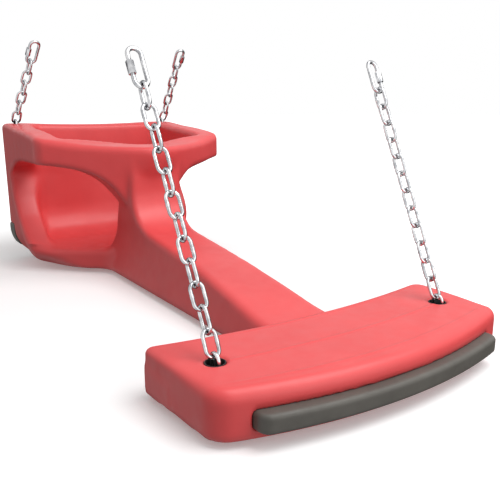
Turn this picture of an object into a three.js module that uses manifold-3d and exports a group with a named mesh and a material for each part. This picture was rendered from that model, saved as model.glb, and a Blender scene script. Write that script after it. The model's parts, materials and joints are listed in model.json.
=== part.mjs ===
// Parent-and-child swing: one hollow moulding with a flat seat at the front and a toddler bucket
// at the back, hung on four short-link chains. Millimetres, +Z up. The origin lies midway between
// the front chain holes, on the underside of the flat seat; +Y runs towards the bucket.
import * as THREE from 'three';
import { mergeVertices } from 'three/addons/utils/BufferGeometryUtils.js';
import Module from 'manifold-3d';

const wasm = await Module();
wasm.setup();

// ---------- driving sizes ----------
const GAP = 0.3; // clearance between pieces that touch

const SEAT = {
  height: 73, backHalf: 302, frontHalf: 294, sideBackY: 111, sideFrontY: -87,
  backY: 80, frontY: -137, corner: 34, edge: 11, draft: 1,
};
const BEAM = { start: 40, end: 900 };
const BEAM_TOP = [
  [40, 44], [150, 59], [250, 79], [350, 97], [450, 111], [550, 123], [590, 130], [620, 140],
];
const POST_FRONT = [
  [642, 152], [658, 168], [669, 187], [675, 207], [677, 228], [671, 252], [658, 276], [646, 302],
];
const POST_REAR = [[738, 331], [745, 270], [765, 210], [783, 158], [821, 82], [868, 30]];
// Half of the section across the beam and post: wide at the floor, narrow at the beam's top.
const BEAM_SECTION = [[80, 0], [63, 110], [68, 160], [68, 331]];

const BUCKET = {
  half: 253, inner: 193, backY: 1135, sideBackY: 1128, innerBackY: 1080,
  backCorner: 10, backBow: 60, wallFoot: 45, top: 400, floorRound: 90,
};
const OUTER_WEDGE = { tip: 615, slope: 0.715, tipRound: 85, cornerRound: 20 };
const PAN_WEDGE = { tip: 737, slope: 0.85, tipRound: 30, cornerRound: 80 };
const PAN = { top: 56, dish: 50, dishHalf: 150, dishRimHalf: 165, lipY: 737, toeRound: 16 };
const RIM = [
  [638, 331], [690, 331], [718, 333], [749, 337], [785, 349], [830, 355], [880, 361],
  [1000, 370], [1060, 377], [1160, 379],
];
const INNER_PLAN = {
  tip: 714, tipRound: 50, bendX: 145, bendY: 813, bendRound: 20, cornerY: 820, cornerRound: 12,
  backRound: 42,
};
const HULL = { end: 1160, heelY: 1100, heelRound: 70, heelZ: 100, heelEdge: 20, bulge: 4 };

// Leg opening: seen from the side (y, z), and seen from the front (x, z) for the right leg.
const LEG_SIDE = [
  [500, 300], [943, 291], [1015, 279], [1067, 262], [1081, 242], [1070, 215], [1052, 170],
  [1024, 130], [988, 98], [955, 76], [925, 56], [915, 30], [500, 30],
];
const LEG_FRONT = [
  [400, 297], [240, 288], [200, 281], [176, 276], [150, 267], [125, 253], [105, 237], [88, 215],
  [76, 185], [70, 150], [68, 30], [400, 30],
];
const LEG_REACH = { front: 480, back: 1120, side: 400 };

const FRONT_BUMPER = {
  tipY: -157, endY: -127, endX: 250, low: 18, high: 46, round: 14, edge: 6,
  wall: (x) => SEAT.frontY + (SEAT.sideFrontY - SEAT.frontY) * (x / SEAT.frontHalf) ** 2 + 6,
};
const REAR_BUMPER = {
  tipY: 1157, endY: 1150, endX: 236, low: 52, high: 97, round: 12, edge: 6,
  wall: (x) => BUCKET.backY - (BUCKET.backY - BUCKET.sideBackY) * (x / BUCKET.half) ** 2 - 6,
};

// Chain link: straight sides joined by two round bends.
const LINK = { wire: 3, bend: 10.5, straight: 20, sides: 6, steps: 14 };
const LINK_PITCH = LINK.straight + 2 * (LINK.bend - LINK.wire) - GAP;
const QUICK = { wire: 3.5, bend: 11, straight: 42, sides: 8, steps: 14, opening: 9 };
const NUT = { across: 11, length: 22 };
const HOLE = { radius: 15.5, lip: 8, over: 32, sleeveOuter: 18.5, sleeveLength: 62 };
const PIN = { radius: 4, length: 48 };
const FRONT_HANG = { y: 0, top: SEAT.height, lean: 25.8, sway: 1.6, links: 13, through: true };
const BACK_HANG = { y: 1102, top: 378, lean: -42.5, sway: -5, links: 7, through: false };
const HANG = [
  { ...FRONT_HANG, name: 'front_left', x: -240 },
  { ...FRONT_HANG, name: 'front_right', x: 240 },
  { ...BACK_HANG, name: 'back_left', x: -224 },
  { ...BACK_HANG, name: 'back_right', x: 224 },
];
const SWIVEL_RISE = 1; // the first moving link turns about a point this far above the hole

// ---------- materials ----------
const plastic = (color) => new THREE.MeshStandardMaterial({ color, roughness: 0.45, metalness: 0 });
const steel = (color, roughness) => new THREE.MeshStandardMaterial({ color, roughness, metalness: 1 });
const redPlastic = () => plastic(0xd94a4a);
const bumperRubber = () => new THREE.MeshStandardMaterial({ color: 0x4a443f, roughness: 0.6 });
const sleevePlastic = () => plastic(0x1d1c1c);
const zincSteel = () => steel(0xc4c6c8, 0.25);
const pinSteel = () => steel(0x8f9193, 0.35);

// ---------- helpers ----------
function solidOf(geometry) {
  const bare = geometry.index ? geometry.clone() : geometry;
  bare.deleteAttribute('normal');
  bare.deleteAttribute('uv');
  const merged = mergeVertices(bare, 1e-3);
  const mesh = new wasm.Mesh({
    numProp: 3,
    vertProperties: new Float32Array(merged.attributes.position.array),
    triVerts: new Uint32Array(merged.index.array),
  });
  mesh.merge();
  return new wasm.Manifold(mesh);
}

function geometryOf(solid) {
  const mesh = solid.getMesh();
  const geometry = new THREE.BufferGeometry();
  geometry.setAttribute('position', new THREE.BufferAttribute(new Float32Array(mesh.vertProperties), 3));
  geometry.setIndex(new THREE.BufferAttribute(new Uint32Array(mesh.triVerts), 1));
  const flat = geometry.toNonIndexed();
  flat.computeVertexNormals();
  return flat;
}

// A closed outline through the given corners; each corner is [x, y, cut], where cut is how far
// from the corner its rounding starts, or 0 for a sharp one.
function roundedOutline(corners) {
  const shape = new THREE.Shape();
  const count = corners.length;
  corners.forEach(([x, y, cut], i) => {
    const here = new THREE.Vector2(x, y);
    const before = new THREE.Vector2(...corners[(i + count - 1) % count].slice(0, 2));
    const after = new THREE.Vector2(...corners[(i + 1) % count].slice(0, 2));
    const enter = here.clone().add(before.sub(here).setLength(cut || 1e-6));
    const leave = here.clone().add(after.sub(here).setLength(cut || 1e-6));
    const go = i === 0 ? 'moveTo' : 'lineTo';
    shape[go](cut ? enter.x : x, cut ? enter.y : y);
    if (cut) shape.quadraticCurveTo(x, y, leave.x, leave.y);
  });
  shape.closePath();
  return shape;
}

function extrude(shape, depth, edge = 0, curveSegments = 6) {
  const geometry = new THREE.ExtrudeGeometry(shape, {
    depth: depth - 2 * edge, curveSegments, steps: 1, bevelEnabled: edge > 0,
    bevelThickness: edge, bevelSize: edge, bevelOffset: -edge, bevelSegments: 3,
  });
  return geometry.translate(0, 0, edge);
}

const upright = (shape, low, high) => solidOf(extrude(shape, high - low).translate(0, 0, low));

// An outline drawn in (y, z), carried across X.
function across(shape, low, high) {
  const turn = new THREE.Matrix4().makeBasis(
    new THREE.Vector3(0, 1, 0), new THREE.Vector3(0, 0, 1), new THREE.Vector3(1, 0, 0));
  return solidOf(extrude(shape, high - low).applyMatrix4(turn).translate(low, 0, 0));
}

// An outline drawn in (x, z), carried along Y.
const lengthwise = (shape, low, high) =>
  solidOf(extrude(shape, high - low).rotateX(Math.PI / 2).translate(0, high, 0));

const polygon = (points) => new THREE.Shape(points.map(([x, y]) => new THREE.Vector2(x, y)));
const mirrored = (points) => points.map(([x, y]) => [-x, y]).reverse();

function rod(radius, length, sides, axis) {
  const geometry = new THREE.CylinderGeometry(radius, radius, length, sides);
  if (axis === 'x') geometry.rotateZ(Math.PI / 2);
  if (axis === 'z') geometry.rotateX(Math.PI / 2);
  return geometry;
}

// ---------- the moulding ----------
function seatPlank() {
  const { frontHalf, backHalf, sideFrontY, sideBackY, corner, draft } = SEAT;
  const shape = new THREE.Shape();
  const slopeFront = 2 * (sideFrontY - SEAT.frontY) / frontHalf;
  const slopeBack = 2 * (sideBackY - SEAT.backY) / backHalf;
  const controlFront = 2 * SEAT.frontY - sideFrontY + corner * slopeFront;
  const controlBack = 2 * SEAT.backY - sideBackY + corner * slopeBack;
  shape.moveTo(-frontHalf + corner, sideFrontY - corner * slopeFront);
  shape.quadraticCurveTo(0, controlFront, frontHalf - corner, sideFrontY - corner * slopeFront);
  shape.quadraticCurveTo(frontHalf, sideFrontY, frontHalf + draft, sideFrontY + corner);
  shape.lineTo(backHalf - draft, sideBackY - corner);
  shape.quadraticCurveTo(backHalf, sideBackY, backHalf - corner, sideBackY - corner * slopeBack);
  shape.quadraticCurveTo(0, controlBack, corner - backHalf, sideBackY - corner * slopeBack);
  shape.quadraticCurveTo(-backHalf, sideBackY, draft - backHalf, sideBackY - corner);
  shape.lineTo(-frontHalf - draft, sideFrontY + corner);
  shape.quadraticCurveTo(-frontHalf, sideFrontY, corner - frontHalf, sideFrontY - corner * slopeFront);
  return solidOf(extrude(shape, SEAT.height, SEAT.edge, 8));
}

function beamAndPost() {
  const outline = polygon([
    [BEAM.start, 0], [BEAM.end, 0], ...POST_REAR.toReversed(), RIM[0],
    ...POST_FRONT.toReversed(), ...BEAM_TOP.toReversed(),
  ]);
  const section = polygon([...BEAM_SECTION, ...mirrored(BEAM_SECTION)]);
  const half = BEAM_SECTION[0][0];
  return across(outline, -half, half).intersect(lengthwise(section, BEAM.start, BEAM.end));
}

// The bucket's outline from above: a wedge in front that points to the seat, and a bowed back.
function wedgePlan({ tip, slope, tipRound, cornerRound }) {
  const { half, sideBackY, backY, backCorner, backBow } = BUCKET;
  const shoulder = tip + slope * half;
  return roundedOutline([
    [0, tip, tipRound], [half, shoulder, cornerRound], [half, sideBackY, backCorner],
    [0, backY, backBow], [-half, sideBackY, backCorner], [-half, shoulder, cornerRound],
  ]);
}

function innerPlan() {
  const { tip, tipRound, bendX, bendY, bendRound, cornerY, cornerRound, backRound } = INNER_PLAN;
  const { inner, innerBackY } = BUCKET;
  return roundedOutline([
    [0, tip, tipRound], [bendX, bendY, bendRound], [inner, cornerY, cornerRound],
    [inner, innerBackY, backRound], [-inner, innerBackY, backRound],
    [-inner, cornerY, cornerRound], [-bendX, bendY, bendRound],
  ]);
}

// The rim line above, the post's front face, and the floor with its rounded sides and heel.
function hullEnvelope() {
  const { half, top, floorRound } = BUCKET;
  const { heelY, heelRound, end, heelZ, heelEdge, bulge } = HULL;
  const sharp = ([y, z]) => [y, z, 0];
  const side = roundedOutline([
    [POST_FRONT[0][0], 0, 0], [heelY, 0, heelRound], [end, heelZ, heelEdge],
    ...RIM.toReversed().map(sharp), ...POST_FRONT.toReversed().map(sharp),
  ]);
  const wide = half + bulge;
  const front = roundedOutline([
    [-half, 0, floorRound], [half, 0, floorRound], [wide, 2 * floorRound, 0], [wide, top, 0],
    [-wide, top, 0], [-wide, 2 * floorRound, 0],
  ]);
  return across(side, -wide, wide).intersect(lengthwise(front, RIM[0][0] - 1, end));
}

function legCutter() {
  const side = polygon(LEG_SIDE);
  const [right, left] = [LEG_FRONT, mirrored(LEG_FRONT)]
    .map((outline) => lengthwise(polygon(outline), LEG_REACH.front, LEG_REACH.back));
  return across(side, -LEG_REACH.side, LEG_REACH.side).intersect(right.add(left));
}

function seatPan() {
  const { half, innerBackY } = BUCKET;
  const { top, dish, dishHalf, dishRimHalf, lipY, toeRound } = PAN;
  const over = top + 2;
  const side = roundedOutline([
    [lipY, over, 0], [lipY, 0, toeRound], [HULL.end, 0, 0], [HULL.end, over, 0],
  ]);
  const hollow = roundedOutline([
    [-dishHalf, dish, 0], [dishHalf, dish, 0], [dishRimHalf, over, 0], [-dishRimHalf, over, 0],
  ]);
  return upright(wedgePlan(PAN_WEDGE), 0, top)
    .intersect(across(side, -half, half))
    .subtract(lengthwise(hollow, lipY, innerBackY));
}

function bucket() {
  const { wallFoot, top, backY, innerBackY, half } = BUCKET;
  const shell = upright(wedgePlan(OUTER_WEDGE), wallFoot, top)
    .subtract(upright(innerPlan(), 0, top + 1))
    .subtract(legCutter());
  const backWall = new THREE.BoxGeometry(2 * half, 2 * (backY - innerBackY), wallFoot);
  const backFoot = upright(wedgePlan(OUTER_WEDGE), 0, wallFoot + 1)
    .intersect(solidOf(backWall.translate(0, backY, wallFoot / 2 + 1)));
  return shell.add(seatPan()).add(backFoot).intersect(hullEnvelope());
}

function chainHole({ x, y, top, through }) {
  const shaftTop = top - HOLE.lip;
  const shaftLow = through ? -1 : shaftTop - HOLE.sleeveLength - GAP;
  const mouth = rod(HOLE.radius, HOLE.lip + HOLE.over, 20, 'z');
  const shaft = rod(HOLE.sleeveOuter + GAP, shaftTop - shaftLow, 20, 'z');
  const pinBore = rod(PIN.radius + GAP, PIN.length + 2 * GAP, 12, 'x').translate(x, y, pinHeight(top));
  return solidOf(mouth.translate(x, y, top + (HOLE.over - HOLE.lip) / 2))
    .add(solidOf(shaft.translate(x, y, (shaftTop + shaftLow) / 2)))
    .add(solidOf(pinBore));
}

function mouldedBody() {
  let solid = seatPlank().add(beamAndPost()).add(bucket());
  for (const bumper of [FRONT_BUMPER, REAR_BUMPER]) solid = solid.subtract(bumperSolid(bumper, GAP));
  for (const hole of HANG) solid = solid.subtract(chainHole(hole));
  return solid;
}

// ---------- bumpers ----------
// A bowed strip let into the wall behind it; grow gives the pocket that it sits in.
function bumperSolid(spec, grow) {
  const outward = Math.sign(spec.tipY - spec.wall(0));
  const endX = spec.endX + grow;
  const wallY = (x) => spec.wall(x) - outward * grow;
  const tipControl = 2 * spec.tipY - spec.endY;
  const wallControl = 2 * wallY(0) - wallY(endX);
  const shape = new THREE.Shape();
  const near = endX - spec.round;
  shape.moveTo(-near, spec.endY + outward * grow);
  shape.quadraticCurveTo(0, tipControl + outward * grow, near, spec.endY + outward * grow);
  shape.quadraticCurveTo(endX, spec.endY, endX, spec.endY - outward * spec.round);
  shape.lineTo(endX, wallY(endX));
  shape.quadraticCurveTo(0, wallControl, -endX, wallY(endX));
  shape.lineTo(-endX, spec.endY - outward * spec.round);
  shape.quadraticCurveTo(-endX, spec.endY, -near, spec.endY + outward * grow);
  const height = spec.high - spec.low + 2 * grow;
  return solidOf(extrude(shape, height, grow ? 0 : spec.edge, 12).translate(0, 0, spec.low - grow));
}

// ---------- chain parts ----------
const swivelHeight = (top) => top + SWIVEL_RISE;
const lowestLinkHeight = (top) => swivelHeight(top) - LINK.straight / 2;
const pinHeight = (top) =>
  lowestLinkHeight(top) - LINK.straight / 2 - (LINK.bend - LINK.wire) + GAP + PIN.radius;
const linkHeight = (index) => index * LINK_PITCH - LINK.straight / 2;

// A closed ring of round wire in the XY plane, long along Y.
function ring({ wire, bend, straight, sides, steps }) {
  const geometry = new THREE.TorusGeometry(bend, wire, sides, steps).rotateZ(Math.PI / 2);
  const position = geometry.attributes.position;
  for (let i = 0; i < position.count; i += 1) {
    position.setY(i, position.getY(i) + Math.sign(position.getY(i)) * straight / 2);
  }
  return geometry;
}

function quickLinkBody() {
  const opening = new THREE.BoxGeometry(4 * QUICK.wire, QUICK.opening, 4 * QUICK.wire);
  return solidOf(ring(QUICK)).subtract(solidOf(opening.translate(QUICK.bend, 0, 0)));
}

function sleeveNut() {
  const outer = rod(NUT.across / Math.sqrt(3), NUT.length, 6, 'y').translate(QUICK.bend, 0, 0);
  const bore = rod(QUICK.wire + GAP, NUT.length + 2, 12, 'y').translate(QUICK.bend, 0, 0);
  return solidOf(outer).subtract(solidOf(bore));
}

function chainSleeve() {
  const outer = rod(HOLE.sleeveOuter, HOLE.sleeveLength, 20, 'z');
  const inner = rod(HOLE.radius, HOLE.sleeveLength + 2, 20, 'z');
  return solidOf(outer).subtract(solidOf(inner));
}

// ---------- assembly ----------
const swing = new THREE.Group();

function add(parent, name, geometry, material) {
  const mesh = new THREE.Mesh(geometry, material);
  mesh.name = name;
  parent.add(mesh);
  return mesh;
}

add(swing, 'moulded_body', geometryOf(mouldedBody()), redPlastic());
add(swing, 'front_bumper', geometryOf(bumperSolid(FRONT_BUMPER, 0)), bumperRubber());
add(swing, 'rear_bumper', geometryOf(bumperSolid(REAR_BUMPER, 0)), bumperRubber());

// Stands a ring, drawn long along Y in the XY plane, along +Z; turned rings lie in the YZ plane.
function standRing(mesh, turned) {
  mesh.rotation.set(Math.PI / 2, turned ? Math.PI / 2 : 0, 0);
}

function addLink(parent, hang, index, height) {
  const label = String(index + 1).padStart(2, '0');
  const link = add(parent, `link_${hang.name}_${label}`, ring(LINK), zincSteel());
  link.position.z = height;
  standRing(link, index % 2 === 0);
}

function addSocket({ name, x, y, top }) {
  const height = pinHeight(top);
  const bore = rod(PIN.radius + GAP, 2 * HOLE.sleeveOuter + 2, 12, 'x').translate(x, y, height);
  const sleeve = chainSleeve()
    .translate([x, y, top - HOLE.lip - HOLE.sleeveLength / 2])
    .subtract(solidOf(bore));
  add(swing, `chain_sleeve_${name}`, geometryOf(sleeve), sleevePlastic());
  add(swing, `anchor_pin_${name}`, rod(PIN.radius, PIN.length, 12, 'x'), pinSteel())
    .position.set(x, y, height);
}

function addQuickLink(parent, { name, x }, lowestWire) {
  const quick = new THREE.Group();
  quick.position.z = lowestWire + QUICK.bend + QUICK.straight / 2;
  quick.rotation.set(Math.PI / 2, x < 0 ? Math.PI : 0, 0); // the nut faces outwards
  parent.add(quick);
  add(quick, `quick_link_${name}`, geometryOf(quickLinkBody()), zincSteel());
  add(quick, `sleeve_nut_${name}`, geometryOf(sleeveNut()), zincSteel());
}

// The chain leans about its first moving link's foot, and sways about that link's upper bend.
for (const hang of HANG) {
  addSocket(hang);
  const lowest = new THREE.Group();
  lowest.position.set(hang.x, hang.y, 0);
  swing.add(lowest);
  addLink(lowest, hang, 0, lowestLinkHeight(hang.top));

  const leaning = new THREE.Group();
  leaning.position.set(hang.x, hang.y, swivelHeight(hang.top));
  leaning.rotation.x = -THREE.MathUtils.degToRad(hang.lean);
  swing.add(leaning);
  addLink(leaning, hang, 1, linkHeight(1));

  const swaying = new THREE.Group();
  swaying.position.z = LINK_PITCH;
  swaying.rotation.y = THREE.MathUtils.degToRad(hang.sway) * Math.sign(hang.x);
  leaning.add(swaying);
  for (let i = 2; i < hang.links; i += 1) {
    addLink(swaying, hang, i, linkHeight(i - 1));
  }
  const topInside = linkHeight(hang.links - 2) + LINK.straight / 2 + LINK.bend - LINK.wire;
  addQuickLink(swaying, hang, topInside - GAP - QUICK.wire);
}

export default swing;
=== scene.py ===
"""Looks of the parent-and-child swing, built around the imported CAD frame.

The moulding and the bumpers are implicit solids, rounded and filleted as moulded parts are, and
turned into meshes by a surface net. The chains, quick links, sockets and pins are swept or turned
meshes. Shape sizes are in millimetres in the frame's axes, and become metres in the meshes.
"""

import json
import math

import bpy
import numpy as np
from mathutils import Matrix, Vector


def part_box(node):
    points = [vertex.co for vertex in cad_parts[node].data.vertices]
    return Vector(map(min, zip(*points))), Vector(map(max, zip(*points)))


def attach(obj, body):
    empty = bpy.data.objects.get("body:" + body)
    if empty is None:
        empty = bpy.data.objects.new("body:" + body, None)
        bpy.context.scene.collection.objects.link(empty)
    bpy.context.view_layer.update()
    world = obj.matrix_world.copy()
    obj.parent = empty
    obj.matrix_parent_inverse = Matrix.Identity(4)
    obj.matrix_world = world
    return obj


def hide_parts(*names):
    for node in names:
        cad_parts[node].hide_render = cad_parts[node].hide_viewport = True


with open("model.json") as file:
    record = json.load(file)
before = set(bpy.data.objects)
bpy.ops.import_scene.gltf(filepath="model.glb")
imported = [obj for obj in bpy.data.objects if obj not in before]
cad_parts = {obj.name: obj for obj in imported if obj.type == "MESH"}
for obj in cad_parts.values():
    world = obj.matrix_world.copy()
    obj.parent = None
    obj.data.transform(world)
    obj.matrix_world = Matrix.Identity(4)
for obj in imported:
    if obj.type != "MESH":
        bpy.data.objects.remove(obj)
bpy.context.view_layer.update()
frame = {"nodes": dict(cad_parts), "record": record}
RECORD = frame["record"]
MM = 0.001


def corner(node, side):
    """Lowest (side 0) or highest (side 1) corner of a CAD node, in millimetres."""
    return Vector(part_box(node)[side]) / MM


# ---------- sizes of the moulding, in millimetres ----------
# A pair of sizes is for the left and the right, or for the start and the end of its run.
SEAT_TOP = 73.0
BACK_TOP = 379.0
# A bowed edge: its place in the middle, its bow and the half width over which it bows.
SEAT_FRONT = (-137, 50, 292)
SEAT_BACK = (79, 31, 302)
SEAT_HALF = (300, 306)
SEAT_TAPER, SEAT_TAPER_FROM = 0.04, 10
SEAT_FRONT_CORNER = (26, 18)
SEAT_BACK_CORNER = (17, 28)
SEAT_SIDES = (-100, 100)
# The run of this edge is counted forwards, against +Y.
SEAT_EDGE = (10, 18)
SEAT_EDGE_RUN = (-40, 90)
# Middle, bow and where it starts to fade towards the left, of each moulded line on the seat.
SEAT_RIDGES = ((66.0, 29.0, -114.0), (-24.0, 27.0, -178.0), (-104.0, 40.0, -192.0))
RIDGE_HEIGHT, RIDGE_WIDTH, RIDGE_HALF = 1.3, 2.6, 285
RIDGE_END, RIDGE_FADE, RIDGE_FAINT = 255, 90, 0.25

BEAM_TOP = ((0, 44), (40, 46), (95, 52), (150, 59), (200, 69), (250, 79), (300, 88), (350, 97),
            (400, 104), (450, 111), (500, 117), (550, 123), (590, 128), (800, 134))
BEAM_START, BEAM_END = 20, 700
SPINE_HALF = ((-20, 88), (0, 86), (55, 73), (110, 64), (150, 67), (190, 68), (400, 68))
SPINE_EDGE = 13
POST_FRONT = ((-20, 677), (228, 677), (262, 675), (290, 676), (340, 690), (400, 710))
POST_REAR = ((-20, 900), (0, 895), (35, 864), (82, 821), (121, 802), (158, 783), (210, 765),
             (270, 746), (300, 738), (331, 733), (400, 733))
POST_TOP = 315.0
BEAM_TO_POST = 90
SPINE_TO_SEAT = (8, 34)
SPINE_TO_SEAT_RUN = (-20, 20)

RIM = ((560, 331), (690, 331), (720, 333), (750, 337), (790, 347), (830, 355), (880, 361),
       (940, 366), (1000, 370), (1060, 376), (1100, 379), (1180, 379))
RIM_DIP, RIM_DIP_HALF, RIM_DIP_RUN = 5, 190, (1040, 1100)
RIM_EDGE = 13
# A pointed face: where its point is, how fast it runs back on each side, and how soft it is.
BAND_FACE = (615, 0.715, 45)
PAN_FACE = (731, 0.85, 30)
CAVITY_FACE = (714, 0.69, 30)
BAND_RECESS = ((-20, 40), (225, 40), (252, 27), (276, 13), (302, 3), (331, 0), (420, 0))
RECESS_HALF = 90
PAN_LIP = 56.0
PAN_TO_BAND_RUN = (PAN_LIP + 6, PAN_LIP + 18)
BUCKET_HALF = 256.5
BUCKET_BACK, BUCKET_BACK_BOW = 1136, 4
BUCKET_BACK_CORNER, BUCKET_FRONT_CORNER = 6, 18
# The foot's radius in the middle, what it grows by at the sides and at the back, and where.
FOOT = 6
FOOT_SIDES, FOOT_SIDES_ALONG, FOOT_SIDES_ACROSS = (32, 86), (830, 1040), (120, 215)
FOOT_BACK, FOOT_BACK_RUN = 54, (990, 1080)
BUCKET_TO_SPINE, BUCKET_TO_SPINE_RUN = (20, 6), (60, 90)

CAVITY_HALF = 193.0
CAVITY_FLOOR, CAVITY_FRONT, CAVITY_BACK = 50, 818, 1080
CAVITY_FRONT_FILLET, CAVITY_CORNER, CAVITY_FLOOR_FILLET = 70, 16, 26
CAVITY_BACK_FILLET, CAVITY_JOIN = 95, 34

LEG_SIDE = ((400, 292), (943, 291), (1015, 279), (1060, 263), (1079, 243), (1070, 215),
            (1052, 170), (1024, 130), (988, 98), (955, 72), (925, 54), (895, 40), (400, 40))
LEG_FRONT = ((420, 300), (240, 288), (200, 281), (176, 276), (150, 267), (125, 253), (105, 236),
             (88, 214), (70, 188), (46, 164), (34, 130), (34, PAN_LIP), (184, PAN_LIP),
             (204, 43), (420, 40))
LEG_SMOOTHING, LEG_CORNER = 16, 10
LEG_EDGE, LEG_EDGE_RUN = (18, 9), (60, 100)
# How far the right leg opening widens beside the post and at the foot of the side wall, and how
# much thicker the wall is above that.
LEG_FLARE, LEG_FLARE_ALONG, LEG_FLARE_IN, LEG_FLARE_OUT = 22.0, (700, 780), (0, 50), (90, 220)
LEG_HEEL, LEG_HEEL_RUN = 50.0, (40, 150)
LEG_STRUT, LEG_STRUT_RUN = 17.0, (180, 240)
LEG_WALL = (120, 200)

# Across, along, top and depth of the chain holes; the other side mirrors them.
CHAIN_HOLES = ((240, 0, SEAT_TOP, 80), (224, 1102, BACK_TOP, 78))
HOLE_RADIUS, HOLE_MOUTH, HOLE_FLARE = 16.2, 3.5, 0.3
BODY_TO_SEAT, SOLE_EDGE = 7, 6

FRONT_BUMPER = {"tip": -156.5, "bow": 34.0, "ends": (-244.0, 251.0), "height": (14.0, 43.0),
                "round": 15.0, "edge": 7.0, "depth": 27.0, "tuck": 0.0}
REAR_BUMPER = {"tip": 1156.5, "bow": 18.0, "ends": (-257.5, 257.5), "height": (36.0, 98.0),
               "round": 6.0, "edge": 5.0, "depth": 52.0, "tuck": 84.0}
POCKET_GAP, POCKET_EDGE = 0.7, 1.2

# Grid for the moulding: stretches of start, end and how many times finer than the step.
GRID_X = ((0, 218, 1), (218, 262, 2), (262, 322, 1))
GRID_Y = ((-152, -112, 2), (-112, 104, 3), (104, 130, 2), (130, 1080, 1), (1080, 1122, 2),
          (1122, 1152, 1))
GRID_Z = ((-9, 64, 1), (64, 79, 4), (79, 366, 1), (366, 394, 2))
GRID_MARGIN = 4
MOULDING_STEP = 5.9
BUMPER_STEP = 2.5
BUMPER_FINER = 1.6


# ---------- implicit shapes: negative inside, in millimetres ----------
def both(a, b, radius):
    """Where a and b overlap, with the edge between them rounded."""
    near = np.sqrt(np.maximum(a + radius, 0) ** 2 + np.maximum(b + radius, 0) ** 2)
    return np.minimum(np.maximum(a, b), -radius) + near


def either(a, b, radius):
    """a and b joined, with a fillet between them."""
    return -both(-a, -b, radius)


def without(a, b, radius):
    """a with b cut away, with the cut's edge rounded."""
    return both(a, -b, radius)


def smooth_step(value, start, end):
    t = np.clip((value - start) / (end - start), 0, 1)
    return t * t * (3 - 2 * t)


def blend(ends, share):
    """The value at a share of the way from the first end to the second."""
    return ends[0] + (ends[1] - ends[0]) * share


def softened(x, radius):
    """|x| with its point at zero rounded off."""
    return np.sqrt(x ** 2 + radius ** 2)


def curve(points, at):
    """A smooth curve through the points, at the given places."""
    xs, ys = np.array(points, float).T
    slopes = np.gradient(ys, xs)
    k = np.clip(np.searchsorted(xs, at) - 1, 0, len(xs) - 2)
    step = xs[k + 1] - xs[k]
    t = np.clip((at - xs[k]) / step, 0, 1)
    low, high = ys[k], ys[k + 1]
    m0, m1 = slopes[k] * step, slopes[k + 1] * step
    return (low * (1 + 2 * t) + m0 * t) * (1 - t) ** 2 + (high * (3 - 2 * t) - m1 * (1 - t)) * t ** 2


def above_curve(points, along, up):
    """Signed distance of `up` from the curve up = f(along), positive above it."""
    value = curve(points, along)
    slope = np.gradient(value.ravel(), along.ravel()).reshape(value.shape)
    return (up - value) / np.sqrt(1 + slope ** 2)


def rounded_polygon(points, cut, steps=6):
    """The polygon with every corner turned into a short curve that starts `cut` before it."""
    corners = np.array(points, float)
    out = []
    for before, here, after in zip(np.roll(corners, 1, 0), corners, np.roll(corners, -1, 0)):
        enter, leave = before - here, after - here
        enter *= min(cut, np.linalg.norm(enter) / 2) / np.linalg.norm(enter)
        leave *= min(cut, np.linalg.norm(leave) / 2) / np.linalg.norm(leave)
        for t in np.linspace(0, 1, steps):
            out.append(here + enter * (1 - t) ** 2 + leave * t ** 2)
    return np.array(out)


def polygon_distance(points, u, v):
    """Signed distance from a grid of (u, v) to a closed outline, negative inside."""
    best = np.full(np.broadcast(u, v).shape, np.inf)
    inside = np.zeros(best.shape, bool)
    for (ax, ay), (bx, by) in zip(points, np.roll(points, -1, 0)):
        ex, ey = bx - ax, by - ay
        if ex * ex + ey * ey < 1e-9:
            continue
        t = np.clip(((u - ax) * ex + (v - ay) * ey) / (ex * ex + ey * ey), 0, 1)
        best = np.minimum(best, (u - ax - t * ex) ** 2 + (v - ay - t * ey) ** 2)
        crosses = (ay > v) != (by > v)
        if by != ay:
            inside ^= crosses & (u < ax + (v - ay) / (by - ay) * ex)
    return np.where(inside, -1, 1) * np.sqrt(best)


# ---------- the moulding ----------
def beyond_bowed(edge, x, y):
    """How far a place lies beyond a bowed edge."""
    middle, bow, half = edge
    return (y - middle - bow * (x / half) ** 2) / np.sqrt(1 + (2 * bow * x / half ** 2) ** 2)


def ahead_of_point(face, x, y):
    """How far a place lies in front of a pointed face."""
    point, slope, soft = face
    return (point + slope * softened(x, soft) - y) / math.hypot(1, slope)


def seat_plan(x, y):
    """The seat's outline from above: bowed in front and hollow at the back."""
    right = smooth_step(x, *SEAT_SIDES)
    side = np.abs(x) - blend(SEAT_HALF, right) - SEAT_TAPER * (y - SEAT_TAPER_FROM)
    front = both(-beyond_bowed(SEAT_FRONT, x, y), side, blend(SEAT_FRONT_CORNER, right))
    return both(front, beyond_bowed(SEAT_BACK, x, y), blend(SEAT_BACK_CORNER, right))


def seat_plank(x, y, z):
    """The seat, with three raised lines that end before its sides."""
    ridges = 0
    for middle, bow, fade in SEAT_RIDGES:
        line = np.exp(-((y - middle - bow * (x / RIDGE_HALF) ** 2) / RIDGE_WIDTH) ** 2)
        ridges = ridges + line * blend((RIDGE_FAINT, 1), smooth_step(x, fade - RIDGE_FADE, fade))
    height = RIDGE_HEIGHT * (1 - smooth_step(np.abs(x), RIDGE_END, RIDGE_HALF))
    top = z - SEAT_TOP - height * ridges
    return both(seat_plan(x, y), top, blend(SEAT_EDGE, smooth_step(-y, *SEAT_EDGE_RUN)))


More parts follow.
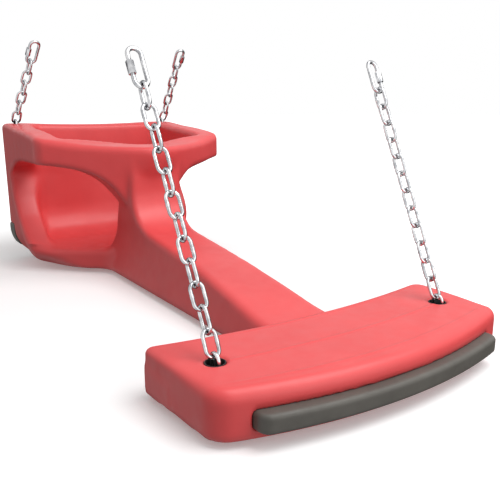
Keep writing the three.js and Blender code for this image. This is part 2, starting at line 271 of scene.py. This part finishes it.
def spine(x, y, z):
    """The beam and the post, which share their sides and spread into the seat."""
    beam = np.maximum(above_curve(BEAM_TOP, y, z), np.maximum(BEAM_START - y, y - BEAM_END))
    post = np.maximum(-above_curve(POST_FRONT, z, y), above_curve(POST_REAR, z, y))
    outline = either(beam, np.maximum(post, z - POST_TOP), BEAM_TO_POST)
    gusset = blend(SPINE_TO_SEAT, smooth_step(x, *SPINE_TO_SEAT_RUN))
    side = either(np.abs(x) - curve(SPINE_HALF, z), seat_plan(x, y), gusset)
    return both(side, outline, SPINE_EDGE)


def bucket_outside(x, y, z):
    """A wedge towards the seat, straight sides, a bowed back and a rounded foot."""
    recess = curve(BAND_RECESS, z) * np.exp(-(x / RECESS_HALF) ** 2)
    band = ahead_of_point(BAND_FACE, x, y - recess)
    pan = ahead_of_point(PAN_FACE, x, y)
    wedge = pan + (band - pan) * smooth_step(z, *PAN_TO_BAND_RUN)
    back = y - BUCKET_BACK + BUCKET_BACK_BOW * (x / BUCKET_HALF) ** 2
    plan = both(np.abs(x) - BUCKET_HALF, back, BUCKET_BACK_CORNER)
    plan = both(plan, wedge, BUCKET_FRONT_CORNER)
    growth = blend(FOOT_SIDES, smooth_step(y, *FOOT_SIDES_ALONG))
    sides = FOOT + growth * smooth_step(np.abs(x), *FOOT_SIDES_ACROSS)
    return both(plan, -z, np.maximum(sides, FOOT + FOOT_BACK * smooth_step(y, *FOOT_BACK_RUN)))


def cavity(x, y, z):
    front = either(ahead_of_point(CAVITY_FACE, x, y), CAVITY_FRONT - y, CAVITY_FRONT_FILLET)
    walls = both(front, np.abs(x) - CAVITY_HALF, CAVITY_CORNER)
    floor = CAVITY_FLOOR - z
    back = both(y - CAVITY_BACK, floor, CAVITY_BACK_FILLET)
    return both(both(walls, floor, CAVITY_FLOOR_FILLET), back, CAVITY_JOIN)


def leg_holes(x, y, z):
    """What is cut both from the side and from the front, wider on the right than on the left."""
    side_outline = rounded_polygon(LEG_SIDE, LEG_SMOOTHING)
    front_outline = rounded_polygon(LEG_FRONT, LEG_SMOOTHING)
    side = polygon_distance(side_outline, y[0], z[0, :1])[None]
    front = polygon_distance(front_outline, np.abs(x[:, 0]), z[0])[:, None]
    beside_post = smooth_step(x, *LEG_FLARE_IN) * (1 - smooth_step(x, *LEG_FLARE_OUT))
    flare = LEG_FLARE * (1 - smooth_step(y, *LEG_FLARE_ALONG)) * beside_post
    heel = LEG_HEEL * (1 - smooth_step(z, *LEG_HEEL_RUN))
    strut = LEG_STRUT * (1 - smooth_step(z, *LEG_STRUT_RUN))
    return both(side - (heel - strut) * smooth_step(x, *LEG_WALL), front - flare, LEG_CORNER)


def bucket(x, y, z):
    across = np.clip(1 - (x / RIM_DIP_HALF) ** 2, 0, 1)
    dip = RIM_DIP * across * smooth_step(y, *RIM_DIP_RUN)
    shell = both(bucket_outside(x, y, z), above_curve(RIM, y, z) + dip, RIM_EDGE)
    shell = without(shell, cavity(x, y, z), RIM_EDGE)
    return without(shell, leg_holes(x, y, z), blend(LEG_EDGE, smooth_step(z, *LEG_EDGE_RUN)))


def chain_hole(x, y, z, hole):
    """A round hole in each half, flared at its mouth."""
    across, along, top, depth = hole
    away = np.hypot(np.abs(x) - across, y - along)
    flare = HOLE_MOUTH - np.clip(top - z, 0, HOLE_MOUTH)
    return np.maximum(away - HOLE_RADIUS - HOLE_FLARE * flare ** 2, top - depth - z)


def bumper(spec, x, y, z, grow):
    """A bowed strip let into the wall behind it; its ends tuck in with the foot below them."""
    outward = 1 if spec["tip"] > 0 else -1
    bow = spec["bow"] * (x / spec["ends"][1]) ** 2
    face = outward * (y - spec["tip"]) + bow
    tuck = spec["tuck"]
    under = tuck - np.sqrt(tuck ** 2 - np.clip(tuck - z, 0, tuck) ** 2)
    start, end = spec["ends"]
    plan = both(face, np.maximum(start + under - x, x - end + under), spec["round"])
    low, high = spec["height"]
    shape = both(both(plan, z - high, spec["edge"]), low - z, spec["edge"])
    return np.maximum(shape, -face - spec["depth"]) - grow


def moulding(x, y, z):
    """The whole moulding, with the pockets of the bumpers and the chain holes."""
    fillet = blend(BUCKET_TO_SPINE, smooth_step(z, *BUCKET_TO_SPINE_RUN))
    body = either(bucket(x, y, z), spine(x, y, z), fillet)
    body = both(either(body, seat_plank(x, y, z), BODY_TO_SEAT), -z, SOLE_EDGE)
    for spec in (FRONT_BUMPER, REAR_BUMPER):
        body = without(body, bumper(spec, x, y, z, POCKET_GAP), POCKET_EDGE)
    for hole in CHAIN_HOLES:
        body = np.maximum(body, -chain_hole(x, y, z, hole))
    return body


# ---------- from the implicit solid to a mesh ----------
def grid_line(step, stretches):
    """Grid places from stretches of (start, end, how many times finer than the step)."""
    return np.concatenate([np.arange(start, end, step / finer) for start, end, finer in stretches])


def surface_net(values, xs, ys, zs):
    """Vertices and quads of the zero surface: one vertex in each cell that it crosses."""
    inside = values < 0
    cells = tuple(n - 1 for n in values.shape)
    corners = [(i, j, k) for i in (0, 1) for j in (0, 1) for k in (0, 1)]

    def at(array, c):
        return array[c[0]:c[0] + cells[0], c[1]:c[1] + cells[1], c[2]:c[2] + cells[2]]

    count = sum(at(inside, c).astype(np.int8) for c in corners)
    i, j, k = np.nonzero((count > 0) & (count < 8))
    total = np.zeros((len(i), 3))
    hits = np.zeros(len(i))
    for a in corners:
        for axis in range(3):
            if a[axis]:
                continue
            b = list(a)
            b[axis] = 1
            fa = values[i + a[0], j + a[1], k + a[2]]
            fb = values[i + b[0], j + b[1], k + b[2]]
            cut = (fa < 0) != (fb < 0)
            t = np.where(cut, fa / np.where(cut, fa - fb, 1), 0)
            place = [line[index + step] for line, index, step in zip((xs, ys, zs), (i, j, k), a)]
            line, index = (xs, ys, zs)[axis], (i, j, k)[axis]
            place[axis] = line[index] + t * (line[index + 1] - line[index])
            total += np.where(cut[:, None], np.stack(place, 1), 0)
            hits += cut
    number = np.full(cells, -1)
    number[i, j, k] = np.arange(len(i))
    quads = []
    for axis in range(3):
        b, c = (axis + 1) % 3, (axis + 2) % 3
        low = [slice(None)] * 3
        high = [slice(None)] * 3
        low[axis], high[axis] = slice(0, -1), slice(1, None)
        change = inside[tuple(low)] != inside[tuple(high)]
        p = np.array(np.nonzero(change))
        keep = (p[b] > 0) & (p[c] > 0) & (p[b] < cells[b]) & (p[c] < cells[c])
        p = p[:, keep]
        outward = inside[tuple(p)]
        ring = []
        for db, dc in ((1, 1), (0, 1), (0, 0), (1, 0)):
            q = p.copy()
            q[b] -= db
            q[c] -= dc
            ring.append(number[tuple(q)])
        ring = np.stack(ring, 1)
        quads.append(np.where(outward[:, None], ring, ring[:, ::-1]))
    return total / hits[:, None], np.concatenate(quads)


def sample(values, lines, points):
    """The grid's value at each point, by linear interpolation."""
    index, share = [], []
    for line, place in zip(lines, points.T):
        k = np.clip(np.searchsorted(line, place) - 1, 0, len(line) - 2)
        index.append(k)
        share.append((place - line[k]) / (line[k + 1] - line[k]))
    result = 0
    for di in (0, 1):
        for dj in (0, 1):
            for dk in (0, 1):
                weight = 1
                for step, part in zip((di, dj, dk), share):
                    weight = weight * (part if step else 1 - part)
                result = result + weight * values[index[0] + di, index[1] + dj, index[2] + dk]
    return result


def settle_on_surface(points, values, lines, rounds=3):
    """Moves points onto the zero surface and returns them with the outward directions."""
    slopes = np.gradient(values, *lines)
    for _ in range(rounds):
        way = np.stack([sample(s, lines, points) for s in slopes], 1)
        length = np.maximum((way ** 2).sum(1, keepdims=True), 0.05)
        step = sample(values, lines, points)[:, None] * way / length
        points = points - np.clip(step, -2, 2)
    way = np.stack([sample(s, lines, points) for s in slopes], 1)
    return points, way / np.linalg.norm(way, axis=1, keepdims=True)


def mesh_object(name, points, faces, normals=None):
    mesh = bpy.data.meshes.new(name)
    mesh.from_pydata((np.asarray(points) * MM).tolist(), [], np.asarray(faces, object).tolist())
    mesh.validate()
    mesh.polygons.foreach_set("use_smooth", [True] * len(mesh.polygons))
    if normals is None:
        mesh.set_sharp_from_angle(angle=math.radians(40))
    else:
        mesh.normals_split_custom_set_from_vertices(normals.tolist())
    mesh.update()
    piece = bpy.data.objects.new(name, mesh)
    bpy.context.scene.collection.objects.link(piece)
    return piece


def implicit_object(name, shape, *lines):
    xs, ys, zs = lines
    values = shape(xs[:, None, None], ys[None, :, None], zs[None, None, :])
    points, quads = surface_net(values, xs, ys, zs)
    points, normals = settle_on_surface(points, values, lines)
    return mesh_object(name, points, quads, normals)


def make_moulding():
    right = grid_line(MOULDING_STEP, GRID_X)
    return implicit_object("one_piece_moulding", moulding, np.concatenate([-right[:0:-1], right]),
                           grid_line(MOULDING_STEP, GRID_Y), grid_line(MOULDING_STEP, GRID_Z))


def bumper_line(ends, finer=1):
    """Grid places a little past both ends."""
    return grid_line(BUMPER_STEP, ((min(ends) - GRID_MARGIN, max(ends) + GRID_MARGIN, finer),))


def make_bumper(name, spec):
    thickness = math.copysign(spec["depth"] + spec["bow"], spec["tip"])
    return implicit_object(name, lambda x, y, z: bumper(spec, x, y, z, 0),
                           bumper_line(spec["ends"]),
                           bumper_line((spec["tip"], spec["tip"] - thickness)),
                           bumper_line(spec["height"], BUMPER_FINER))


# ---------- wire, turned parts and their places ----------
def arc(bend, middle, start, steps):
    """Half a turn in the XZ plane from the start angle, about a point on the Z axis."""
    angles = start + np.linspace(0, math.pi, steps)
    return [(bend * math.cos(a), 0, middle + bend * math.sin(a)) for a in angles]


def straight_run(x, start, end, steps):
    return [(x, 0, z) for z in np.linspace(start, end, steps)]


def sweep(line, radii, sides, closed):
    """A round tube along a line in the XZ plane, with its own radius at each point."""
    ahead = np.roll(line, -1, 0) - np.roll(line, 1, 0)
    if not closed:
        ahead[0], ahead[-1] = line[1] - line[0], line[-1] - line[-2]
    ahead /= np.linalg.norm(ahead, axis=1, keepdims=True)
    up = np.array([0.0, 1.0, 0.0])
    out = np.cross(ahead, up)
    angles = np.linspace(0, 2 * math.pi, sides, endpoint=False)
    rings = (line[:, None] + radii[:, None, None]
             * (np.cos(angles)[None, :, None] * out[:, None] + np.sin(angles)[None, :, None] * up))
    faces = ring_faces(len(line), sides, closed)
    if not closed:
        last = (len(line) - 1) * sides
        faces.append(tuple(range(sides)))
        faces.append(tuple(last + j for j in reversed(range(sides))))
    return rings.reshape(-1, 3), faces


def ring_faces(count, sides, closed):
    """Quads between rings of points that follow one another."""
    faces = []
    for i in range(count if closed else count - 1):
        here, ahead = i * sides, (i + 1) % count * sides
        for j in range(sides):
            k = (j + 1) % sides
            faces.append((here + j, ahead + j, ahead + k, here + k))
    return faces


def turned_tube(profile, sides, limit):
    """A closed profile of (radius, height) turned about Z; `limit` caps the radius by angle."""
    angles = np.linspace(0, 2 * math.pi, sides, endpoint=False)
    rings = []
    for radius, height in profile:
        reach = np.minimum(radius, limit(angles))
        rings.append(np.stack([reach * np.cos(angles), reach * np.sin(angles),
                               np.full(sides, height)], 1))
    return np.concatenate(rings), ring_faces(len(profile), sides, True)


def round_limit(angles):
    return np.full(len(angles), np.inf)


def hexagon_limit(angles):
    """Distance from the middle of the nut's hexagon to its flats."""
    return NUT_ACROSS / 2 / np.cos((angles + math.pi / 6) % (math.pi / 3) - math.pi / 6)


def placed(points, middle, along, wide):
    """Moves points drawn along Z, wide along X, to their place."""
    turn = Matrix((wide, along.cross(wide), along))
    return points @ np.array(turn) + np.array(middle)


def middle_of(node):
    return (corner(node, 0) + corner(node, 1)) / 2


UP = Vector((0, 0, 1))
ACROSS = Vector((1, 0, 0))
JOINTS = {joint["name"]: joint for joint in RECORD["behaviour"]["joints"]}
CORNERS = {mount["name"].removeprefix("hang_"): mount for mount in RECORD["mounts"]
           if mount["name"].startswith("hang_")}


def chain_course(name):
    """Directions along and across a corner's lower link, and along and across its chain."""
    foot, bend = (Vector(JOINTS[f"{kind}_{name}"]["pos_m"]) for kind in ("lean", "sway"))
    return ((bend - foot).normalized(), ACROSS,
            Vector(CORNERS[name]["axis"]), Vector(JOINTS[f"swivel_{name}"]["axis"]))


def stand_for(piece, node, material):
    bodies = RECORD["behaviour"]["bodies"]
    piece.data.materials.append(material)
    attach(piece, next(body for body, members in bodies.items() if node in members))
    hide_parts(node)


# ---------- chains and fittings ----------
WIRE, LINK_BEND, LINK_STRAIGHT = 2.95, 10.5, 20
LINK_SIDES, LINK_BEND_STEPS, LINK_STRAIGHT_STEPS = 14, 15, 9
WELD_SWELL, WELD_LENGTH = 0.45, 2.6
QUICK_WIRE, QUICK_BEND, QUICK_STRAIGHT, QUICK_OPENING = 3.5, 11, 42, 4.5
QUICK_SIDES, QUICK_BEND_STEPS, QUICK_STRAIGHT_STEPS, QUICK_THREAD_STEPS = 16, 19, 9, 84
THREAD_PITCH, THREAD_DEPTH, THREAD_END = 1.2, 0.3, 14.5
NUT_ACROSS, NUT_HALF, NUT_BORE, NUT_CHAMFER = 11, 11, 3.8, 0.7
NUT_FACE, NUT_REACH, NUT_SIDES = 5.4, 6.5, 48
PIN_HALF, PIN_RADIUS, PIN_CHAMFER, PIN_SIDES = 24, 4, 0.8, 24
SLEEVE_OUTER, SLEEVE_INNER, SLEEVE_TOP, SLEEVE_FOOT, SLEEVE_SIDES = 15.9, 14.4, -1.2, -70, 40


def link_mesh(weld_side):
    """One link: a bent wire with the slight swelling of its butt weld on one side."""
    half = LINK_STRAIGHT / 2
    line = np.array(arc(LINK_BEND, half, 0, LINK_BEND_STEPS)
                    + straight_run(-LINK_BEND, half, -half, LINK_STRAIGHT_STEPS)[1:-1]
                    + arc(LINK_BEND, -half, math.pi, LINK_BEND_STEPS)
                    + straight_run(LINK_BEND, -half, half, LINK_STRAIGHT_STEPS)[1:-1], float)
    weld = np.exp(-(line[:, 2] / WELD_LENGTH) ** 2) * (np.sign(line[:, 0]) == weld_side)
    return sweep(line, WIRE + WELD_SWELL * weld, LINK_SIDES, closed=True)


def quick_link_mesh():
    """The open ring of a quick link, threaded at both ends."""
    half = QUICK_STRAIGHT / 2
    line = np.array(straight_run(QUICK_BEND, QUICK_OPENING, half, QUICK_THREAD_STEPS)
                    + arc(QUICK_BEND, half, 0, QUICK_BEND_STEPS)[1:]
                    + straight_run(-QUICK_BEND, half, -half, QUICK_STRAIGHT_STEPS)[1:-1]
                    + arc(QUICK_BEND, -half, math.pi, QUICK_BEND_STEPS)
                    + straight_run(QUICK_BEND, -half, -QUICK_OPENING, QUICK_THREAD_STEPS)[1:],
                    float)
    threaded = (line[:, 0] > 0) & (np.abs(line[:, 2]) < THREAD_END)
    groove = 0.5 - 0.5 * np.cos(2 * math.pi * line[:, 2] / THREAD_PITCH)
    radii = QUICK_WIRE - THREAD_DEPTH * groove * threaded
    radii[[0, -1]] = QUICK_WIRE - 2 * THREAD_DEPTH
    return sweep(line, radii, QUICK_SIDES, closed=False)


def nut_mesh():
    shoulder = NUT_HALF - NUT_CHAMFER
    points, faces = turned_tube(((NUT_BORE, -NUT_HALF), (NUT_FACE, -NUT_HALF),
                                 (NUT_REACH, -shoulder), (NUT_REACH, shoulder),
                                 (NUT_FACE, NUT_HALF), (NUT_BORE, NUT_HALF)),
                                NUT_SIDES, hexagon_limit)
    return points + [QUICK_BEND, 0, 0], faces


def sleeve_mesh():
    rim = (SLEEVE_OUTER + SLEEVE_INNER) / 2
    profile = ((SLEEVE_OUTER, SLEEVE_FOOT), (SLEEVE_OUTER, SLEEVE_TOP - 0.5),
               (SLEEVE_OUTER - 0.2, SLEEVE_TOP - 0.1), (rim, SLEEVE_TOP),
               (SLEEVE_INNER + 0.2, SLEEVE_TOP - 0.1), (SLEEVE_INNER, SLEEVE_TOP - 0.5),
               (SLEEVE_INNER, SLEEVE_FOOT))
    return turned_tube(profile[::-1], SLEEVE_SIDES, round_limit)


def pin_mesh():
    heights = (-PIN_HALF, PIN_CHAMFER - PIN_HALF, PIN_HALF - PIN_CHAMFER, PIN_HALF)
    line = np.array([(0, 0, height) for height in heights], float)
    radii = PIN_RADIUS - PIN_CHAMFER * (np.abs(line[:, 2]) == PIN_HALF)
    return sweep(line, radii, PIN_SIDES, closed=False)


def make_chain(name, material):
    lower, lower_wide, upper, upper_wide = chain_course(name)
    nodes = sorted(node for node in frame["nodes"] if node.startswith(f"link_{name}_"))
    courses = [(UP, ACROSS), (lower, lower_wide)] + [(upper, upper_wide)] * (len(nodes) - 2)
    for index, (node, (along, wide)) in enumerate(zip(nodes, courses)):
        if index % 2 == 0:
            wide = along.cross(wide)
        points, faces = link_mesh(1 if index % 4 < 2 else -1)
        piece = mesh_object(f"chain_{node}", placed(points, middle_of(node), along, wide), faces)
        stand_for(piece, node, material)


def make_quick_link(name, material):
    *_, along, wide = chain_course(name)
    middle = middle_of(f"quick_link_{name}")
    outwards = wide * math.copysign(1, middle.x)
    for kind, (points, faces) in (("quick_link", quick_link_mesh()), ("sleeve_nut", nut_mesh())):
        points = placed(points, middle, along, outwards)
        piece = mesh_object(f"{kind}_body_{name}", points, faces)
        stand_for(piece, f"{kind}_{name}", material)


def make_socket(name, sleeve_material, pin_material):
    sleeve, pin = f"chain_sleeve_{name}", f"anchor_pin_{name}"
    mouth = middle_of(sleeve)
    mouth.z = SEAT_TOP if name.startswith("front") else BACK_TOP
    points, faces = sleeve_mesh()
    piece = mesh_object(f"socket_{name}", placed(points, mouth, UP, ACROSS), faces)
    stand_for(piece, sleeve, sleeve_material)
    points, faces = pin_mesh()
    points = placed(points, middle_of(pin), ACROSS, UP)
    stand_for(mesh_object(f"cross_pin_{name}", points, faces), pin, pin_material)


# ---------- materials ----------
class Paint:
    """A node material made step by step around one Principled shader."""

    def __init__(self, name, metallic=0.0):
        self.material = bpy.data.materials.new(name)
        self.material.use_nodes = True
        self.tree = self.material.node_tree
        self.shader = self.tree.nodes["Principled BSDF"]
        self.shader.inputs["Metallic"].default_value = metallic
        self.where = self.tree.nodes.new("ShaderNodeTexCoord").outputs["Object"]

    def noise(self, scale, detail=3.0, stretch=(1, 1, 1)):
        turn = self.tree.nodes.new("ShaderNodeMapping")
        turn.inputs["Scale"].default_value = stretch
        self.tree.links.new(self.where, turn.inputs["Vector"])
        noise = self.tree.nodes.new("ShaderNodeTexNoise")
        noise.inputs["Scale"].default_value = scale
        noise.inputs["Detail"].default_value = detail
        self.tree.links.new(turn.outputs["Vector"], noise.inputs["Vector"])
        return noise.outputs["Fac"]

    def ramp(self, factor, stops):
        """Colours or grey values at the given places of a 0 to 1 factor."""
        ramp = self.tree.nodes.new("ShaderNodeValToRGB")
        elements = ramp.color_ramp.elements
        for element, (place, value) in zip(elements, (stops[0], stops[-1])):
            element.position = place
            element.color = (*value, 1) if isinstance(value, tuple) else (value, value, value, 1)
        for place, value in stops[1:-1]:
            element = elements.new(place)
            element.color = (*value, 1) if isinstance(value, tuple) else (value, value, value, 1)
        self.tree.links.new(factor, ramp.inputs["Fac"])
        return ramp.outputs["Color"]

    def feed(self, name, output):
        self.tree.links.new(output, self.shader.inputs[name])

    def bump(self, *layers):
        """Stacked bumps, each of (height output, distance in millimetres)."""
        normal = None
        for height, distance in layers:
            bump = self.tree.nodes.new("ShaderNodeBump")
            bump.inputs["Distance"].default_value = distance * MM
            self.tree.links.new(height, bump.inputs["Height"])
            if normal is not None:
                self.tree.links.new(normal, bump.inputs["Normal"])
            normal = bump.outputs["Normal"]
        self.feed("Normal", normal)


def red_plastic():
    paint = Paint("red_polyethylene")
    paint.feed("Base Color", paint.ramp(paint.noise(9, 5), (
        (0.35, (0.765, 0.071, 0.074)), (0.65, (0.82, 0.083, 0.086)))))
    paint.feed("Roughness", paint.ramp(paint.noise(38, 6), ((0.3, 0.36), (0.7, 0.46))))
    paint.bump((paint.noise(420, 2), 0.05), (paint.noise(28, 2), 0.15))
    return paint.material


def rubber():
    paint = Paint("bumper_rubber")
    paint.feed("Base Color", paint.ramp(paint.noise(24, 5), (
        (0.3, (0.088, 0.081, 0.070)), (0.7, (0.112, 0.104, 0.090)))))
    paint.feed("Roughness", paint.ramp(paint.noise(60, 4), ((0.3, 0.48), (0.7, 0.64))))
    paint.bump((paint.noise(700, 3), 0.06))
    return paint.material


def zinc_steel():
    paint = Paint("zinc_steel", metallic=1.0)
    paint.feed("Base Color", paint.ramp(paint.noise(90, 5), (
        (0.35, (0.42, 0.43, 0.45)), (0.65, (0.8, 0.8, 0.81)))))
    paint.shader.inputs["Specular Tint"].default_value = (0.06, 0.06, 0.07, 1)
    paint.feed("Roughness", paint.ramp(paint.noise(260, 5), ((0.3, 0.09), (0.75, 0.22))))
    paint.bump((paint.noise(500, 3), 0.04))
    return paint.material


def pin_steel():
    paint = Paint("turned_steel", metallic=1.0)
    rings = paint.noise(60, 4, stretch=(40, 1, 1))
    paint.feed("Base Color", paint.ramp(rings, ((0.3, (0.42, 0.43, 0.45)), (0.7, 0.56))))
    paint.feed("Roughness", paint.ramp(rings, ((0.3, 0.24), (0.7, 0.42))))
    paint.bump((rings, 0.03))
    return paint.material


def black_nylon():
    paint = Paint("black_nylon")
    paint.feed("Base Color", paint.ramp(paint.noise(120, 4), ((0.3, 0.009), (0.7, 0.016))))
    paint.feed("Roughness", paint.ramp(paint.noise(200, 4), ((0.3, 0.3), (0.7, 0.48))))
    paint.bump((paint.noise(600, 2), 0.03))
    return paint.material


# ---------- studio ----------
MIDDLE = Vector((0, 0.5, 0.1))
CAMERA_PLACE = (-0.638983, -0.674893, 0.421143)
CAMERA_DIP, CAMERA_TURN, CAMERA_LENS, CAMERA_SENSOR = 0.234, -0.597, 42.858, 36
# Direction, distance, size and power.
KEY_LIGHT = ((0.25, -0.45, 0.85), 2.6, 1.8, 47)
FRONT_FILL = ((0.2, -1.0, 0.3), 2.6, 2.0, 15.5)
# Strength of the soft light from below to above, and of what gloss mirrors.
WORLD_SOFT, WORLD_SOFT_RUN = (0.12, 0.48), (-0.3, 0.5)
WORLD_GLOSSY, WORLD_DARK = 0.95, 0.03
MIRRORED_UP = (0.05, 0.2)
BEHIND, MIRRORED_BEHIND = (0.83, 0.56, 0), (-0.1, 0.45)
FLOOR_DROP, FLOOR_SIZE, FLOOR_WHITE, FLOOR_ROUGHNESS = -0.010, 60, 0.9, 0.9
# The floor's glow: its middle, how much it is squeezed each way, and its distances and strengths.
FLOOR_MIDDLE, FLOOR_SQUEEZE = (0, 0.25, 0), (1, 0.5, 0)
FLOOR_GLOW = (0.38, 0.9, 0.2, 0.9)


def add_camera():
    data = bpy.data.cameras.new("camera")
    camera = bpy.data.objects.new("camera", data)
    bpy.context.scene.collection.objects.link(camera)
    camera.location = CAMERA_PLACE
    camera.rotation_euler = (math.pi / 2 - CAMERA_DIP, 0, CAMERA_TURN)
    data.sensor_width = CAMERA_SENSOR
    data.lens = CAMERA_LENS
    data.clip_end = 60
    bpy.context.scene.camera = camera


def add_soft_box(name, direction, distance, size, power):
    data = bpy.data.lights.new(name, "AREA")
    data.size = size
    data.energy = power
    light = bpy.data.objects.new(name, data)
    bpy.context.scene.collection.objects.link(light)
    away = Vector(direction).normalized()
    light.location = MIDDLE + away * distance
    light.rotation_euler = away.to_track_quat("Z", "Y").to_euler()


def map_range(nodes, links, value, limits):
    """A smooth step of a value; the limits are from low, from high, to low and to high."""
    step = nodes.new("ShaderNodeMapRange")
    step.interpolation_type = "SMOOTHSTEP"
    for socket, limit in zip(("From Min", "From Max", "To Min", "To Max"), limits):
        step.inputs[socket].default_value = limit
    links.new(value, step.inputs["Value"])
    return step.outputs["Result"]


def world_light(nodes, links):
    """What gloss mirrors, dark low down behind the swing, and the soft light, mostly from above."""
    where = nodes.new("ShaderNodeTexCoord").outputs["Generated"]
    ahead = nodes.new("ShaderNodeVectorMath")
    ahead.operation = "DOT_PRODUCT"
    ahead.inputs[1].default_value = BEHIND
    links.new(where, ahead.inputs[0])
    parts = nodes.new("ShaderNodeSeparateXYZ")
    links.new(where, parts.inputs["Vector"])
    high = map_range(nodes, links, parts.outputs["Z"], (*MIRRORED_UP, WORLD_DARK, WORLD_GLOSSY))
    near = map_range(nodes, links, ahead.outputs["Value"],
                     (*MIRRORED_BEHIND, WORLD_GLOSSY, WORLD_DARK))
    soft = map_range(nodes, links, parts.outputs["Z"], (*WORLD_SOFT_RUN, *WORLD_SOFT))
    either_one = nodes.new("ShaderNodeMath")
    either_one.operation = "MAXIMUM"
    links.new(high, either_one.inputs[0])
    links.new(near, either_one.inputs[1])
    return either_one.outputs["Value"], soft


def add_world():
    """White behind the swing, dimmer for the light that it gives and for its reflections."""
    world = bpy.data.worlds.new("studio")
    bpy.context.scene.world = world
    world.use_nodes = True
    nodes, links = world.node_tree.nodes, world.node_tree.links
    rays = nodes.new("ShaderNodeLightPath")
    glossy, soft = world_light(nodes, links)
    strength = nodes.new("ShaderNodeMix")
    links.new(soft, strength.inputs["A"])
    links.new(glossy, strength.inputs["B"])
    links.new(rays.outputs["Is Glossy Ray"], strength.inputs["Factor"])
    seen = nodes.new("ShaderNodeMix")
    seen.inputs["B"].default_value = 1.0
    links.new(rays.outputs["Is Camera Ray"], seen.inputs["Factor"])
    links.new(strength.outputs["Result"], seen.inputs["A"])
    background = nodes["Background"]
    background.inputs["Color"].default_value = (1, 1, 1, 1)
    links.new(seen.outputs["Result"], background.inputs["Strength"])


def add_floor():
    """A pale floor that glows softly, more so away from the swing."""
    bpy.ops.mesh.primitive_plane_add(size=FLOOR_SIZE, location=(0, 0, FLOOR_DROP))
    floor = bpy.context.object
    floor.name = "studio_floor"
    floor.visible_diffuse = False
    floor.visible_glossy = False
    paint = Paint("floor_white")
    paint.shader.inputs["Base Color"].default_value = (FLOOR_WHITE, FLOOR_WHITE, FLOOR_WHITE, 1)
    paint.shader.inputs["Roughness"].default_value = FLOOR_ROUGHNESS
    paint.shader.inputs["Emission Color"].default_value = (1, 1, 1, 1)
    flatten = paint.tree.nodes.new("ShaderNodeVectorMath")
    flatten.operation = "MULTIPLY"
    flatten.inputs[1].default_value = FLOOR_SQUEEZE
    paint.tree.links.new(paint.where, flatten.inputs[0])
    away = paint.tree.nodes.new("ShaderNodeVectorMath")
    away.operation = "DISTANCE"
    away.inputs[1].default_value = FLOOR_MIDDLE
    paint.tree.links.new(flatten.outputs["Vector"], away.inputs[0])
    glow = map_range(paint.tree.nodes, paint.tree.links, away.outputs["Value"], FLOOR_GLOW)
    paint.feed("Emission Strength", glow)
    floor.data.materials.append(paint.material)


# ---------- the scene ----------
bpy.context.scene.view_settings.view_transform = "Standard"
add_camera()
add_world()
add_floor()
add_soft_box("key", *KEY_LIGHT)
add_soft_box("front_fill", *FRONT_FILL)

stand_for(make_moulding(), "moulded_body", red_plastic())
bumper_material = rubber()
stand_for(make_bumper("front_bumper_strip", FRONT_BUMPER), "front_bumper",
          bumper_material)
stand_for(make_bumper("rear_bumper_strip", REAR_BUMPER), "rear_bumper",
          bumper_material)
steel, pins, nylon = zinc_steel(), pin_steel(), black_nylon()
for corner_name in CORNERS:
    make_chain(corner_name, steel)
    make_quick_link(corner_name, steel)
    make_socket(corner_name, nylon, pins)
